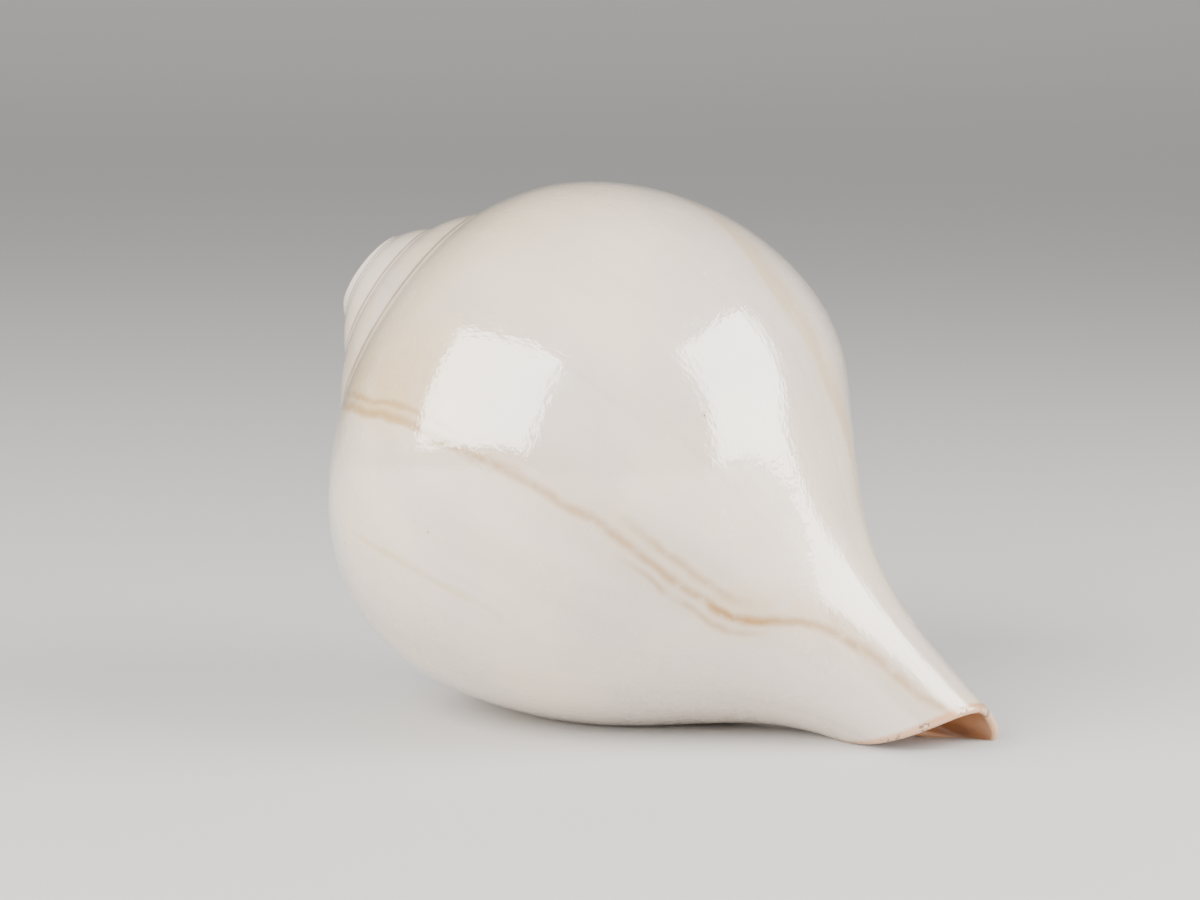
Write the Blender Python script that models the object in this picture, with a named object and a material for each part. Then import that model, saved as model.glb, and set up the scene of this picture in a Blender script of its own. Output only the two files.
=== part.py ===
"""Conch shell horn: a polished chank shell with its tip ground off for blowing, lying on its aperture.

The shell is one grown piece. Its skin follows the law of spiral growth: one profile, drawn from the
suture round the shoulder and down to the end of the siphonal canal, turns about the shell's axis and
grows by the same factor with every turn. The wall, the aperture, the passage that winds up to the
blow hole and the blow hole itself are lofted from that same law.

Units are metres, +Z is up, and the shell's axis lies in the XZ plane with the canal towards +X.
"""

import math

import bmesh
import bpy
import numpy as np

MM = 0.001
TURN = 2 * math.pi

# How the shell grows and lies
WHORL_EXPANSION = 1.59
SPIRE_STRETCH = 0.68
AXIS_SLOPE = math.radians(33.5)
LIP_ANGLE = math.radians(188.0)
CUT_HEIGHT = 14.6 * MM
CANAL_BEND_START = 80 * MM
CANAL_DROP = 2.9 * MM
CANAL_SIDESTEP = 0.75 * MM
RESTING_FLAT_DEPTH = 1.2 * MM

# The growing edge at the lip, as radius from the axis and height down from the apex
COVERING_LINE = (49.9 * MM, 45.6 * MM)
SHOULDER_BULGE = 0.9 * MM
PERIPHERY = (58.2 * MM, 60.0 * MM)
BODY = (51.7 * MM, 95.1 * MM)
BASE = (41.0 * MM, 112.7 * MM)
NECK = (19.3 * MM, 140.7 * MM)
CANAL_START = (15.9 * MM, 148.0 * MM)
CANAL_END = (10.4 * MM, 184.0 * MM)

# How the front of the body whorl departs from plain spiral growth
WAIST = 0.56
WAIST_GROWTH = -0.33
CANAL_GROWTH = 0.70
CANAL_GROWTH_POWER = 2.15
FRONT_STRETCH = 0.36
VENTRAL_HOLLOW = 0.50
VENTRAL_CENTRE = 0.53
VENTRAL_SPREAD = 0.19
VENTRAL_START = 0.5
VENTRAL_RISE = 0.5

# The outer lip stands back along the canal, up to its top at the very end
LIP_RETREAT = math.radians(205)
LIP_RETREAT_START = 0.745
LIP_RETREAT_EASE = 0.06
LIP_RETREAT_STEADY = 0.62
LIP_RETREAT_REACH = 1.5

# The far wall of the canal reaches further forward than plain growth takes it
TIP_REACH = 7.5 * MM
TIP_START = 0.8
TIP_RISE = (-0.55, -0.72)
TIP_FALL = 0.3

# Wall, passage and blow hole
LIP_THICKNESS = 1.8 * MM
WALL = 4.2 * MM
WALL_GROWTH = 0.3
RIM_RISE = 0.1
END_START = 0.88
MOUTH_DEPTH = 0.125
MOUTH_FLOW = 1.2
LIP_FOOT = 0.985
INNER_FOOT = 0.86
MOUTH_EASE = 0.2
MOUTH_RELAXING = 10
LEAST_RADIUS = 2 * MM
CORNER_LENGTH = 0.15
ROUNDING_START = -1.9
PASSAGE_END = -2.4
COLUMELLA = [(37.2, 42.5), (39.8, 55), (31.4, 74.7), (23.8, 91), (19, 104), (15, 116), (12, 126), (10.5, 134)]
PASSAGE_CREST = 0.02
BLOW_HOLE_RADIUS = 5.5 * MM
BLOW_HOLE_BEND = 0.45

# Mesh density
STEPS_PER_TURN = 36
EXPOSED_COLUMNS = 5
HIDDEN_COLUMNS = 22
RIM_ROWS = 3
MOUTH_ROWS = 8
PASSAGE_SIDES = 16
PASSAGE_STEPS_PER_TURN = 18
BLOW_HOLE_ROWS = 5
SPIRE_TURNS = 3
SEAM_DISTANCE = 0.002 * MM

# The curves are read at this many places, and their directions over this small a share of their length
READINGS = 400
SMALL_SHARE = 1e-4

SHELL_COLOUR = (0.84, 0.80, 0.76, 1.0)
SHELL_ROUGHNESS = 0.22
SHARP_EDGE = math.radians(40)


def smooth(x):
    """0 below 0, 1 above 1, and a soft step between."""
    x = np.clip(x, 0.0, 1.0)
    return x * x * (3 - 2 * x)


def cubic_through(points):
    """A smooth curve through the points, as a function of the fraction of the way along them."""
    points = np.array(points, dtype=float)
    spans = np.linalg.norm(np.diff(points, axis=0), axis=1)
    knots = np.concatenate([[0.0], np.cumsum(spans)]) / spans.sum()
    gap = np.diff(knots)
    count = len(points)
    system = np.eye(count)
    right = np.zeros_like(points)
    slope = np.diff(points, axis=0) / gap[:, None]
    for i in range(1, count - 1):
        system[i, i - 1 : i + 2] = gap[i - 1], 2 * (gap[i - 1] + gap[i]), gap[i]
        right[i] = 6 * (slope[i] - slope[i - 1])
    bend = np.linalg.solve(system, right)

    def curve(fraction):
        fraction = np.asarray(fraction, dtype=float)
        i = np.clip(np.searchsorted(knots, fraction, side="right") - 1, 0, count - 2)
        wide = gap[i][..., None]
        after = fraction[..., None] - knots[i][..., None]
        before = knots[i + 1][..., None] - fraction[..., None]
        cubic = (bend[i] * before**3 + bend[i + 1] * after**3) / (6 * wide)
        low = (points[i] / wide - bend[i] * wide / 6) * before
        high = (points[i + 1] / wide - bend[i + 1] * wide / 6) * after
        return cubic + low + high

    return curve, knots


def growing_edge():
    """The profile of the last whorl at the lip, from the suture (0) to the end of the canal (1)."""
    covering = np.array(COVERING_LINE)
    suture = covering / (WHORL_EXPANSION, WHORL_EXPANSION**SPIRE_STRETCH)
    chord = covering - suture
    outward = np.array([chord[1], -chord[0]]) / np.linalg.norm(chord)
    shoulder = [suture + chord * part + outward * SHOULDER_BULGE for part in (1 / 3, 2 / 3)]
    points = [suture, *shoulder, covering, PERIPHERY, BODY, BASE, NECK, CANAL_START, CANAL_END]
    curve, knots = cubic_through(points)
    return curve, knots[3]


EDGE, COVERED_FROM = growing_edge()
COLUMELLA_CURVE, _ = cubic_through(np.array(COLUMELLA) * MM)


def growth(s, turn):
    """Radius and height of the skin at s along the growing edge, so many turns before (-) the lip."""
    s, turn = np.broadcast_arrays(np.asarray(s, float), np.asarray(turn, float))
    radius, height = np.moveaxis(EDGE(s), -1, 0)
    to_waist = smooth((s - COVERED_FROM) / (WAIST - COVERED_FROM))
    past_waist = np.clip((s - WAIST) / (1 - WAIST), 0, 1) ** CANAL_GROWTH_POWER
    radial = 1 + (WAIST_GROWTH - 1) * to_waist + (CANAL_GROWTH - WAIST_GROWTH) * past_waist
    axial = SPIRE_STRETCH + (FRONT_STRETCH - SPIRE_STRETCH) * to_waist
    last = np.maximum(turn, -1)
    older = np.minimum(turn + 1, 0)
    hollow = VENTRAL_HOLLOW * np.exp(-(((s - VENTRAL_CENTRE) / VENTRAL_SPREAD) ** 2))
    hollow = hollow * smooth((s - COVERED_FROM) / (WAIST - COVERED_FROM) / VENTRAL_RISE)
    hollow = hollow * np.clip((-VENTRAL_START - last) / (1 - VENTRAL_START), 0, 1) ** 2
    radius = radius * WHORL_EXPANSION ** (radial * last + older) * (1 - hollow)
    height = height * WHORL_EXPANSION ** (axial * last + SPIRE_STRETCH * older)
    far_side = smooth((TIP_RISE[0] - last) / (TIP_RISE[0] - TIP_RISE[1])) * smooth((last + 1) / TIP_FALL)
    return radius, height + TIP_REACH * far_side * smooth((s - TIP_START) / (1 - TIP_START))


AXIS = np.array([math.cos(AXIS_SLOPE), 0, -math.sin(AXIS_SLOPE)])
UPWARD = np.array([math.sin(AXIS_SLOPE), 0, math.cos(AXIS_SLOPE)])
SIDEWARD = np.cross(AXIS, UPWARD)


def place(radius, height, turn):
    """The point at this radius and height in the half-plane of this turn, with the canal's bend."""
    angle = LIP_ANGLE + TURN * np.asarray(turn, float)
    bend = np.clip((height - CANAL_BEND_START) / CANAL_BEND_START, 0, None)[..., None] ** 2
    radial = np.cos(angle)[..., None] * UPWARD + np.sin(angle)[..., None] * SIDEWARD
    centre = height[..., None] * AXIS - bend * (CANAL_DROP * UPWARD + CANAL_SIDESTEP * SIDEWARD)
    return centre + radius[..., None] * radial


def skin(s, turn):
    """The point of the outside at s along the growing edge, so many turns before (-) the lip."""
    s, turn = np.broadcast_arrays(np.asarray(s, float), np.asarray(turn, float))
    return place(*growth(s, turn), turn)


def unit(vectors):
    """The vectors at length one."""
    return vectors / np.linalg.norm(vectors, axis=-1, keepdims=True)


def skin_frame(s, turn):
    """Unit vectors on the skin: along growth, towards the canal, and outwards."""
    onward = unit(skin(s, np.add(turn, SMALL_SHARE)) - skin(s, np.subtract(turn, SMALL_SHARE)))
    forward = unit(skin(np.add(s, SMALL_SHARE), turn) - skin(np.subtract(s, SMALL_SHARE), turn))
    return onward, forward, unit(np.cross(onward, forward))


def lip_retreat(s):
    """How many turns the outer lip stands back at s along the growing edge."""
    x = np.clip((s - LIP_RETREAT_START) / (1 - LIP_RETREAT_START), 0, 1)
    steady = x * x * (1 + LIP_RETREAT_EASE) / (x + LIP_RETREAT_EASE)
    return LIP_RETREAT / TURN * (LIP_RETREAT_STEADY * steady + (1 - LIP_RETREAT_STEADY) * x**3)


def last_turn(s, part):
    """Turn of the point that is this part of the way through the last turn, which ends at the lip."""
    return part - 1 - lip_retreat(s) * part**LIP_RETREAT_REACH


def passage(theta, turn):
    """A point of the passage's section: theta 0 at its crest by the suture, 180 degrees at its foot."""
    theta, turn = np.broadcast_arrays(np.asarray(theta, float), np.asarray(turn, float))
    last = np.maximum(turn, -1)
    down = (1 - np.cos(theta)) / 2
    foot = COLUMELLA_CURVE(np.ones(1))[0, 1] * WHORL_EXPANSION ** (SPIRE_STRETCH * (last + MOUTH_DEPTH))
    reach = np.linspace(COVERED_FROM, 1, READINGS)
    outer_s = np.empty(turn.shape)
    for index, value in np.ndenumerate(foot):
        outer_s[index] = np.interp(value, growth(reach, last[index])[1], reach)
    s = PASSAGE_CREST + (outer_s - PASSAGE_CREST) * down
    radius, height = growth(s, last)
    before = np.stack(growth(s - SMALL_SHARE, last), -1)
    after = np.stack(growth(s + SMALL_SHARE, last), -1)
    along = unit(after - before)
    wall = (WALL * WHORL_EXPANSION ** (WALL_GROWTH * last))[..., None]
    outer = np.stack([radius, height], -1) + wall * np.stack([-along[..., 1], along[..., 0]], -1)
    scale = np.stack([last + MOUTH_DEPTH, SPIRE_STRETCH * (last + MOUTH_DEPTH)], -1)
    inner = COLUMELLA_CURVE(down) * WHORL_EXPANSION**scale
    swell = np.sqrt(1 - np.cos(theta) ** 4) * np.sign(np.sin(theta))
    section = (outer + inner) / 2 + (outer - inner) / 2 * swell[..., None]
    older = np.minimum(turn + 1, 0)
    section = section * WHORL_EXPANSION ** np.stack([older, SPIRE_STRETCH * older], -1)
    return place(section[..., 0], section[..., 1], turn)


def columns():
    """Places along the growing edge of the mesh columns, closer together on the exposed part."""
    exposed = np.linspace(0, COVERED_FROM, EXPOSED_COLUMNS + 1)
    hidden = np.linspace(COVERED_FROM, 1, HIDDEN_COLUMNS + 1)
    return exposed, np.concatenate([exposed, hidden[1:]])


def loft(mesh, rows, closed=False):
    """Faces between each row of points and the next. Returns the rows of vertices."""
    grid = [[mesh.verts.new(point) for point in row] for row in rows]
    for low, high in zip(grid, grid[1:]):
        width = len(low)
        for i in range(width if closed else width - 1):
            k = (i + 1) % width
            mesh.faces.new((low[i], low[k], high[k], high[i]))
    return grid


def edges_between(vertices):
    """The open edges that join these vertices."""
    ring = set(vertices)
    found = [e for v in vertices for e in v.link_edges if e.other_vert(v) in ring and e.is_boundary]
    return list(dict.fromkeys(found))


def add_skin(mesh):
    """The outside: the exposed band of the spire's turns, then the whole edge through the last turn."""
    exposed, whole = columns()
    steps = SPIRE_TURNS * STEPS_PER_TURN
    spire = [skin(exposed, -1 - SPIRE_TURNS * (1 - i / steps)) for i in range(steps + 1)]
    body = [skin(whole, last_turn(whole, i / STEPS_PER_TURN)) for i in range(STEPS_PER_TURN + 1)]
    loft(mesh, spire)
    loft(mesh, body)


def mouth_edge():
    """The edge of the aperture, once round: the lip, the end of the canal, and the inner lip.

    For each vertex it gives the place and turn on the skin, the angle of the passage's section that the
    wall behind it leads to, the size of the rim, how far the rim folds over, and how far the wall behind
    it sets off straight back along the canal.
    """
    exposed, whole = columns()
    parts = np.arange(1, STEPS_PER_TURN + 1) / STEPS_PER_TURN
    lip = whole[1:]
    inner = whole[len(exposed) : -1][::-1]
    s = np.concatenate([[COVERED_FROM], lip, np.ones(STEPS_PER_TURN), inner])
    turn = np.concatenate([[-1], last_turn(lip, 1.0), last_turn(1.0, 1 - parts), -np.ones(len(inner))])
    from_corner = (inner - COVERED_FROM) / (1 - COVERED_FROM)
    lip_theta = section_angle(lip, LIP_FOOT)
    inner_theta = TURN - section_angle(from_corner, INNER_FOOT)
    end_theta = lip_theta[-1] + (inner_theta[0] - lip_theta[-1]) * parts
    theta = np.concatenate([[0], lip_theta, end_theta, inner_theta])
    arc = np.ones(STEPS_PER_TURN)
    size = np.concatenate([[0], smooth(lip / RIM_RISE), arc, smooth(from_corner / RIM_RISE)])
    ending = smooth((s - END_START) / (1 - END_START))
    fold = np.concatenate([[1], np.ones(len(lip)), arc, smooth((inner - END_START) / (1 - END_START))])
    return s, turn, theta, size[:, None], fold[:, None], ending[:, None]


def section_angle(along, foot):
    """The angle of the passage's section where the wall from this part of the mouth's edge arrives."""
    down = MOUTH_FLOW * along - (MOUTH_FLOW - foot) * along**4
    return np.arccos(1 - 2 * down)


def inside_skin(points, wall):
    """Draws points in towards the axis until they lie this far inside the skin of the last turn."""
    height = points @ AXIS
    bend = np.clip((height - CANAL_BEND_START) / CANAL_BEND_START, 0, None)[:, None] ** 2
    centre = height[:, None] * AXIS - bend * (CANAL_DROP * UPWARD + CANAL_SIDESTEP * SIDEWARD)
    radial = points - centre
    radius = np.linalg.norm(radial, axis=1)
    angle = np.arctan2(radial @ SIDEWARD, radial @ UPWARD)
    turn = (angle - LIP_ANGLE) / TURN % 1 - 1
    reach = np.linspace(0, 1, READINGS)
    limit = np.empty(len(points))
    for index, value in enumerate(turn):
        skin_radius, skin_height = growth(reach, value)
        slope = np.gradient(skin_radius, skin_height)
        allowed = skin_radius - wall * smooth(reach / CORNER_LENGTH) * np.sqrt(1 + slope**2)
        limit[index] = np.interp(height[index], skin_height, allowed)
    kept = np.minimum(radius, np.maximum(limit, LEAST_RADIUS))
    return centre + radial * (kept / radius)[:, None]


def add_mouth(mesh):
    """The rounded rim of the aperture and the wall behind it. Returns the ring the passage starts from."""
    s, turn, theta, size, fold, ending = mouth_edge()
    onward, forward, outward = skin_frame(s, turn)
    edge = skin(s, turn)
    across = unit(np.cross(np.roll(edge, -1, axis=0) - np.roll(edge, 1, axis=0), outward))
    rows = [edge]
    for i in range(1, RIM_ROWS + 1):
        angle = math.pi * i / RIM_ROWS
        folded = (across * math.sin(angle) - outward * (1 - math.cos(angle))) / 2
        straight = across * i / RIM_ROWS
        rows.append(edge + size * LIP_THICKNESS * (fold * folded + (1 - fold) * straight))
    start = rows[-1]
    inward = -unit(ending * forward + (1 - ending) * onward)
    end = passage(theta, -MOUTH_DEPTH)
    deeper = unit(passage(theta, -MOUTH_DEPTH - SMALL_SHARE) - end)
    handle = MOUTH_EASE * np.linalg.norm(end - start, axis=1, keepdims=True)
    for i in range(1, MOUTH_ROWS):
        t = i / MOUTH_ROWS
        wall = LIP_THICKNESS + (WALL - LIP_THICKNESS) * t
        rows.append(inside_skin(bezier(start, start + inward * handle, end - deeper * handle, end, t), wall))
    rows.append(end)
    grid = loft(mesh, rows, closed=True)
    between = [vertex for row in grid[RIM_ROWS + 1 : -1] for vertex in row]
    for _ in range(MOUTH_RELAXING):
        bmesh.ops.smooth_vert(
            mesh, verts=between, factor=0.5, use_axis_x=True, use_axis_y=True, use_axis_z=True
        )
    return grid[-1]


def bezier(start, leaving, arriving, end, t):
    """The point at t of the curve that sets off towards one handle and arrives from the other."""
    return (1 - t) ** 3 * start + 3 * t * (1 - t) ** 2 * leaving + 3 * t * t * (1 - t) * arriving + t**3 * end


def half_plane(turn):
    """Unit vectors away from the axis and along growth in the half-plane of this turn."""
    angle = LIP_ANGLE + TURN * turn
    away = math.cos(angle) * UPWARD + math.sin(angle) * SIDEWARD
    along = math.cos(angle) * SIDEWARD - math.sin(angle) * UPWARD
    return away, along


def add_passage(mesh):
    """The passage from behind the aperture up to the blow hole. Returns its first and last rings.

    Before the blow hole the passage narrows to a round one, and then it bends up along the axis.
    """
    theta = (np.arange(PASSAGE_SIDES) + 0.5) * TURN / PASSAGE_SIDES
    first = -MOUTH_DEPTH - 1 / PASSAGE_STEPS_PER_TURN
    steps = round((first - PASSAGE_END) * PASSAGE_STEPS_PER_TURN)
    rows = []
    for turn in np.linspace(first, PASSAGE_END, steps + 1):
        away, along = half_plane(turn)
        ring = passage(theta, turn)
        middle = ring.mean(axis=0)
        bore = middle + BLOW_HOLE_RADIUS * (np.sin(theta)[:, None] * away - np.cos(theta)[:, None] * AXIS)
        rounding = smooth((turn - ROUNDING_START) / (PASSAGE_END - ROUNDING_START))
        rows.append(ring + (bore - ring) * rounding)
    hole = CUT_HEIGHT * AXIS
    hole = hole + BLOW_HOLE_RADIUS * (np.sin(theta)[:, None] * away + np.cos(theta)[:, None] * along)
    start = rows[-1]
    handle = BLOW_HOLE_BEND * np.linalg.norm(hole.mean(axis=0) - middle)
    for i in range(1, BLOW_HOLE_ROWS + 1):
        rows.append(bezier(start, start - along * handle, hole + AXIS * handle, hole, i / BLOW_HOLE_ROWS))
    grid = loft(mesh, rows, closed=True)
    return grid[0], grid[-1]


def build_shell():
    """The closed shell: its outside ground off at the tip, and the hollow joined to it at both ends."""
    mesh = bmesh.new()
    add_skin(mesh)
    bmesh.ops.remove_doubles(mesh, verts=mesh.verts, dist=SEAM_DISTANCE)
    cut = bmesh.ops.bisect_plane(
        mesh,
        geom=mesh.verts[:] + mesh.edges[:] + mesh.faces[:],
        dist=SEAM_DISTANCE,
        plane_co=CUT_HEIGHT * AXIS,
        plane_no=AXIS,
        clear_inner=True,
    )
    ground = [e for e in cut["geom_cut"] if isinstance(e, bmesh.types.BMEdge)]
    mouth = add_mouth(mesh)
    first, hole = add_passage(mesh)
    bmesh.ops.bridge_loops(mesh, edges=edges_between(mouth) + edges_between(first))
    bmesh.ops.bridge_loops(mesh, edges=ground + edges_between(hole))
    bmesh.ops.remove_doubles(mesh, verts=mesh.verts, dist=SEAM_DISTANCE)
    bmesh.ops.recalc_face_normals(mesh, faces=mesh.faces)
    if mesh.calc_volume(signed=True) < 0:
        bmesh.ops.reverse_faces(mesh, faces=mesh.faces)
    return mesh


def rest_on_floor(mesh):
    """Sets the shell down with its origin below the middle of its box, and grinds its resting flat."""
    points = np.array([v.co for v in mesh.verts])
    low, high = points.min(axis=0), points.max(axis=0)
    offset = np.array([(low[0] + high[0]) / 2, (low[1] + high[1]) / 2, low[2] + RESTING_FLAT_DEPTH])
    for vertex in mesh.verts:
        vertex.co -= type(vertex.co)(offset)
        vertex.co.z = max(vertex.co.z, 0.0)


def shell_material():
    """Polished shell, a warm off-white."""
    material = bpy.data.materials.new("polished_shell")
    material.use_nodes = True
    surface = material.node_tree.nodes["Principled BSDF"]
    surface.inputs["Base Color"].default_value = SHELL_COLOUR
    surface.inputs["Roughness"].default_value = SHELL_ROUGHNESS
    surface.inputs["Metallic"].default_value = 0.0
    return material


def main():
    """Clears the scene and puts the finished shell into its collection."""
    for existing in list(bpy.data.objects):
        bpy.data.objects.remove(existing)
    collection = bpy.data.collections.new("conch_shell_horn")
    bpy.context.scene.collection.children.link(collection)
    mesh = build_shell()
    rest_on_floor(mesh)
    data = bpy.data.meshes.new("conch_shell")
    mesh.to_mesh(data)
    mesh.free()
    data.shade_smooth()
    data.set_sharp_from_angle(angle=SHARP_EDGE)
    data.materials.append(shell_material())
    collection.objects.link(bpy.data.objects.new("conch_shell", data))


main()
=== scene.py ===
# %% [markdown]
# # A polished conch shell horn
# The object is a white chank shell whose tip was ground off to make a mouthpiece, and whose whole
# skin was polished until it shines like porcelain. It lies on its aperture, as it is put down
# between uses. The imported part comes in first, as a fixed frame. Everything below is in its frame,
# in metres.

# %% Load the fixed frame
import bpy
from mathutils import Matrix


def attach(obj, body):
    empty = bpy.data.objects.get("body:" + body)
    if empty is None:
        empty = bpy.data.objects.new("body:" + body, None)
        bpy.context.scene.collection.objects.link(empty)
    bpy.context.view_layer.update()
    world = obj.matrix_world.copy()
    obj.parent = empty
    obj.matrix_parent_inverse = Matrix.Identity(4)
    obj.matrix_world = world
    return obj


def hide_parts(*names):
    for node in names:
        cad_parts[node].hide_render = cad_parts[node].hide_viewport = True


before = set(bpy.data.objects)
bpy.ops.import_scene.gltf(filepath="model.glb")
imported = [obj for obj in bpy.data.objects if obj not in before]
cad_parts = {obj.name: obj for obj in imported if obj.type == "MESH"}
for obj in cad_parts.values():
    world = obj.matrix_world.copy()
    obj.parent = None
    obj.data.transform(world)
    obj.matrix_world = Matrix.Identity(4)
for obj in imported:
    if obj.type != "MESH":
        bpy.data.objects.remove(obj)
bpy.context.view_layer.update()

# %% [markdown]
# ## Modules and units
# `bpy` reaches Blender's data and `bmesh` edits meshes. `numpy` works out whole rows of points at
# once. Blender counts in metres, so a length in millimetres is written as its number times `MM`.

# %% Other imports and units
import math

import bmesh
import bpy
import numpy as np
from mathutils import Vector

MM = 0.001
TURN = 2 * math.pi
print("Blender", bpy.app.version_string)

# %% [markdown]
# ## How a shell grows
# A snail adds shell only at the edge of the aperture. The edge keeps its outline while it turns
# about the shell's axis and gets larger by the same factor each turn, so the whole skin is one
# outline, one axis and one growth factor. Sculpting would need patience and luck to get every
# whorl alike. A law of growth gives them all at once, and the fine skin then fits the solid below
# it exactly. The first step is the outline of the growing edge, as radius from the axis and height
# from the tip.

# %% The growing edge
WHORL_EXPANSION = 1.59
SPIRE_STRETCH = 0.68
COVERING_LINE = (49.9 * MM, 45.6 * MM)
SHOULDER_BULGE = 0.9 * MM
PERIPHERY = (58.2 * MM, 60.0 * MM)
BODY = (51.7 * MM, 95.1 * MM)
BASE = (41.0 * MM, 112.7 * MM)
NECK = (19.3 * MM, 140.7 * MM)
CANAL_START = (15.9 * MM, 148.0 * MM)
CANAL_END = (10.4 * MM, 184.0 * MM)


def curve_through(points):
    """A smooth curve through a few points, with its knots and the length of its spans.

    The curve is a function of the share of the way along the points.
    """
    points = np.array(points, dtype=float)
    spans = np.linalg.norm(np.diff(points, axis=0), axis=1)
    knots = np.concatenate([[0.0], np.cumsum(spans)]) / spans.sum()
    gap = np.diff(knots)
    slope = np.diff(points, axis=0) / gap[:, None]
    system = np.eye(len(points))
    right = np.zeros_like(points)
    for i in range(1, len(points) - 1):
        system[i, i - 1 : i + 2] = gap[i - 1], 2 * (gap[i - 1] + gap[i]), gap[i]
        right[i] = 6 * (slope[i] - slope[i - 1])
    bend = np.linalg.solve(system, right)

    def curve(share):
        share = np.asarray(share, dtype=float)
        i = np.clip(np.searchsorted(knots, share, side="right") - 1, 0, len(points) - 2)
        wide = gap[i][..., None]
        after = share[..., None] - knots[i][..., None]
        before = knots[i + 1][..., None] - share[..., None]
        cubic = (bend[i] * before**3 + bend[i + 1] * after**3) / (6 * wide)
        low = (points[i] / wide - bend[i] * wide / 6) * before
        high = (points[i + 1] / wide - bend[i + 1] * wide / 6) * after
        return cubic + low + high

    return curve, knots, spans.sum()


covering = np.array(COVERING_LINE)
suture = covering / (WHORL_EXPANSION, WHORL_EXPANSION**SPIRE_STRETCH)
chord = covering - suture
bulge = np.array([chord[1], -chord[0]]) / np.linalg.norm(chord) * SHOULDER_BULGE
shoulder = [suture + chord * part + bulge for part in (1 / 3, 2 / 3)]
edge_points = [suture, *shoulder, covering, PERIPHERY, BODY, BASE, NECK, CANAL_START, CANAL_END]
EDGE, edge_knots, EDGE_LENGTH = curve_through(edge_points)
COVERED_FROM = edge_knots[3]
print(f"growing edge: {EDGE_LENGTH / MM:.0f} mm long")
print(f"the next whorl covers it from {COVERED_FROM:.3f} of its length on")

# %% [markdown]
# ## Turning the edge about the axis
# Plain spiral growth holds for the spire. Towards the front the last whorl departs from it: the
# waist keeps its girth, the canal draws in, and the side that faces the aperture is slightly
# hollow. The two exponents below change along the edge for that. A point on the skin is then given
# by two numbers: how far along the edge it is, and how many turns before the lip it was laid down.

# %% The law of growth
WAIST = 0.56
WAIST_GROWTH = -0.33
CANAL_GROWTH = 0.70
CANAL_GROWTH_POWER = 2.15
FRONT_STRETCH = 0.36
VENTRAL_HOLLOW = 0.50
VENTRAL_CENTRE = 0.53
VENTRAL_SPREAD = 0.19
VENTRAL_START = 0.5
VENTRAL_RISE = 0.5
TIP_REACH = 7.5 * MM
TIP_START = 0.8
TIP_RISE = (-0.55, -0.72)
TIP_FALL = 0.3


def eased(x):
    """0 below 0, 1 above 1, and a soft step between."""
    x = np.clip(x, 0.0, 1.0)
    return x * x * (3 - 2 * x)


def growth(s, turn):
    """Radius and height of the skin at s along the growing edge, so many turns before (-) the lip."""
    s, turn = np.broadcast_arrays(np.asarray(s, float), np.asarray(turn, float))
    radius, height = np.moveaxis(EDGE(s), -1, 0)
    way_to_waist = (s - COVERED_FROM) / (WAIST - COVERED_FROM)
    to_waist = eased(way_to_waist)
    past_waist = np.clip((s - WAIST) / (1 - WAIST), 0, 1) ** CANAL_GROWTH_POWER
    radial = 1 + (WAIST_GROWTH - 1) * to_waist + (CANAL_GROWTH - WAIST_GROWTH) * past_waist
    axial = SPIRE_STRETCH + (FRONT_STRETCH - SPIRE_STRETCH) * to_waist
    last = np.maximum(turn, -1)
    older = np.minimum(turn + 1, 0)
    hollow = VENTRAL_HOLLOW * np.exp(-(((s - VENTRAL_CENTRE) / VENTRAL_SPREAD) ** 2))
    hollow = hollow * eased(way_to_waist / VENTRAL_RISE)
    hollow = hollow * np.clip((-VENTRAL_START - last) / (1 - VENTRAL_START), 0, 1) ** 2
    radius = radius * WHORL_EXPANSION ** (radial * last + older) * (1 - hollow)
    height = height * WHORL_EXPANSION ** (axial * last + SPIRE_STRETCH * older)
    far_side = eased((TIP_RISE[0] - last) / (TIP_RISE[0] - TIP_RISE[1]))
    far_side = far_side * eased((last + 1) / TIP_FALL)
    return radius, height + TIP_REACH * far_side * eased((s - TIP_START) / (1 - TIP_START))


covered_radius = float(growth(COVERED_FROM, 0.0)[0])
print(f"radius where the next whorl would begin: {covered_radius / MM:.1f} mm")

# %% [markdown]
# ## Where the axis lies
# The shell rests on the bulge of its last whorl and on its canal, so the axis slopes down towards
# the canal. `APEX` is where the axis starts, the tip before it was ground off, in the frame of the
# part. The canal bends a little away from the axis, as it does on nearly every such shell.

# %% Placing points on the shell
AXIS_SLOPE = math.radians(33.5)
LIP_ANGLE = math.radians(188.0)
CANAL_BEND_START = 80 * MM
CANAL_DROP = 2.9 * MM
CANAL_SIDESTEP = 0.75 * MM
APEX = np.array([-75.060, 3.436, 95.505]) * MM
AXIS = np.array([math.cos(AXIS_SLOPE), 0, -math.sin(AXIS_SLOPE)])
UPWARD = np.array([math.sin(AXIS_SLOPE), 0, math.cos(AXIS_SLOPE)])
SIDEWARD = np.cross(AXIS, UPWARD)
TINY = 1e-4


def axis_at(height):
    """The point of the axis at this height, with the bend of the canal."""
    bend = np.clip((height - CANAL_BEND_START) / CANAL_BEND_START, 0, None)[..., None] ** 2
    return APEX + height[..., None] * AXIS - bend * (CANAL_DROP * UPWARD + CANAL_SIDESTEP * SIDEWARD)


def place(radius, height, turn):
    """The point at this radius and height in the half-plane of this turn."""
    angle = LIP_ANGLE + TURN * np.asarray(turn, float)
    radial = np.cos(angle)[..., None] * UPWARD + np.sin(angle)[..., None] * SIDEWARD
    return axis_at(height) + radius[..., None] * radial


def skin(s, turn):
    """The point of the skin at s along the growing edge, at this turn."""
    s, turn = np.broadcast_arrays(np.asarray(s, float), np.asarray(turn, float))
    return place(*growth(s, turn), turn)


def unit(vectors):
    """The vectors drawn out or in to a length of 1."""
    return vectors / np.linalg.norm(vectors, axis=-1, keepdims=True)


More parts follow.
